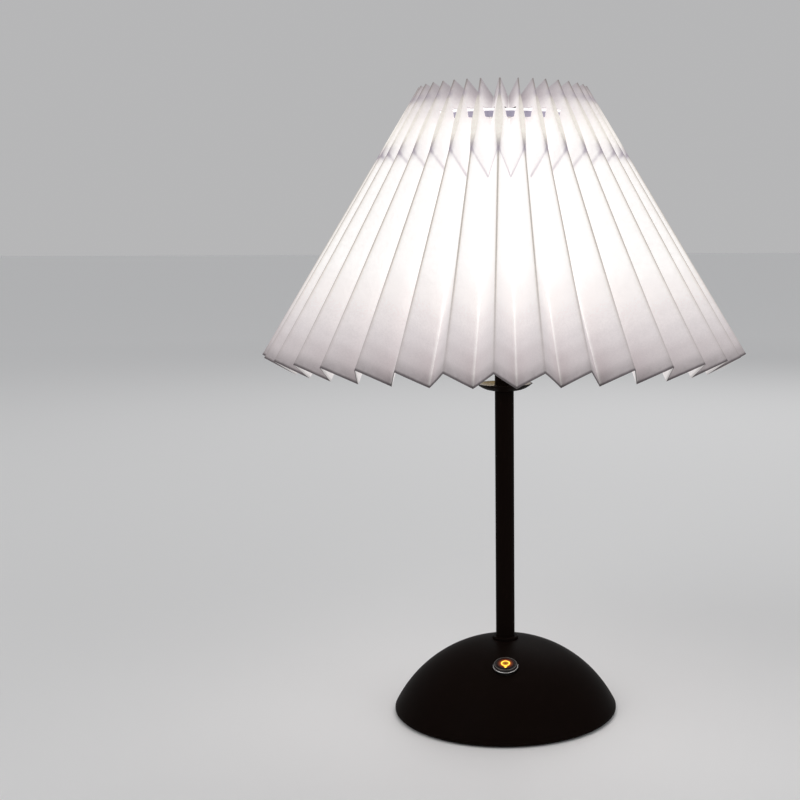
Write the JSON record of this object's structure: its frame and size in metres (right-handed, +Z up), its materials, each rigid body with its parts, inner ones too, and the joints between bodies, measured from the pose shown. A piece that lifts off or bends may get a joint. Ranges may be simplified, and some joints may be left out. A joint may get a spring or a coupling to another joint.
{
  "type": "table lamp",
  "caption": "Cordless table lamp with a weighted dome base, push button, slim stem, small brass-lined dish and a pleated paper shade on a flat light head.",
  "frame": {"origin": "centre of the underside of the standing pad, on the surface the lamp stands on", "axes": "+Z up along the stem, -Y towards the front where the push button is, +X to the right seen from the front"},
  "size_m": [0.2498, 0.2498, 0.3284],
  "materials": {
    "black_rubber": "matt",
    "zinc_steel": "zinc plated",
    "black_coat": "satin black powder coat",
    "cast_ballast": "as cast",
    "black_plastic": "moulded",
    "cell_wrap": "shrink wrap",
    "board_green": "solder mask",
    "white_plastic": "moulded",
    "nickel_steel": "nickel plated",
    "button_black": "satin",
    "amber_lens": "lit amber, emissive",
    "dish_brass": "brushed",
    "head_white": "white powder coat",
    "opal_lens": "opal, emissive",
    "board_white": "white solder mask",
    "chip_yellow": "phosphor",
    "lead_sheath": "sheath",
    "ring_white": "white",
    "shade_paper": "pleated, translucent"
  },
  "bodies": {
    "lamp": {"standing_pad": "black_rubber", "base_plate": "zinc_steel", "base_screws": "zinc_steel", "base_dome": "black_coat", "ballast_disc": "cast_ballast", "battery_tray": "black_plastic", "battery_cell": "cell_wrap", "control_board": "board_green", "board_standoffs": "white_plastic", "charge_board": "board_green", "charge_socket": "nickel_steel", "button_bezel": "nickel_steel", "button_gasket": "black_rubber", "button_nut": "nickel_steel", "button_switch": "black_plastic", "stem_tube": "black_coat", "stem_collar": "black_coat", "stem_washer": "zinc_steel", "stem_nut": "zinc_steel", "dish_shell": "black_coat", "dish_liner": "dish_brass", "dish_retainer": "black_coat", "head_pan": "head_white", "head_seat": "nickel_steel", "head_diffuser": "opal_lens", "led_board": "board_white", "led_chips": "chip_yellow", "head_washer": "zinc_steel", "head_nut": "black_coat", "stem_lead": "lead_sheath", "shade_ring": "ring_white"},
    "button": {"button_cap": "button_black", "button_symbol": "amber_lens"},
    "shade": {"shade_paper": "shade_paper"}
  },
  "joints": [
    {"name": "button_press", "type": "slide", "parent": "lamp", "child": "button", "axis": [0, 0.2756, -0.9613], "range_m": [0, 0.0008], "stiffness_N_per_m": 1500, "springref_m": -0.0006},
    {"name": "shade_turn", "type": "hinge", "parent": "lamp", "child": "shade", "pos_m": [0, 0, 0.31], "axis": [0, 0, 1], "continuous": true}
  ]
}
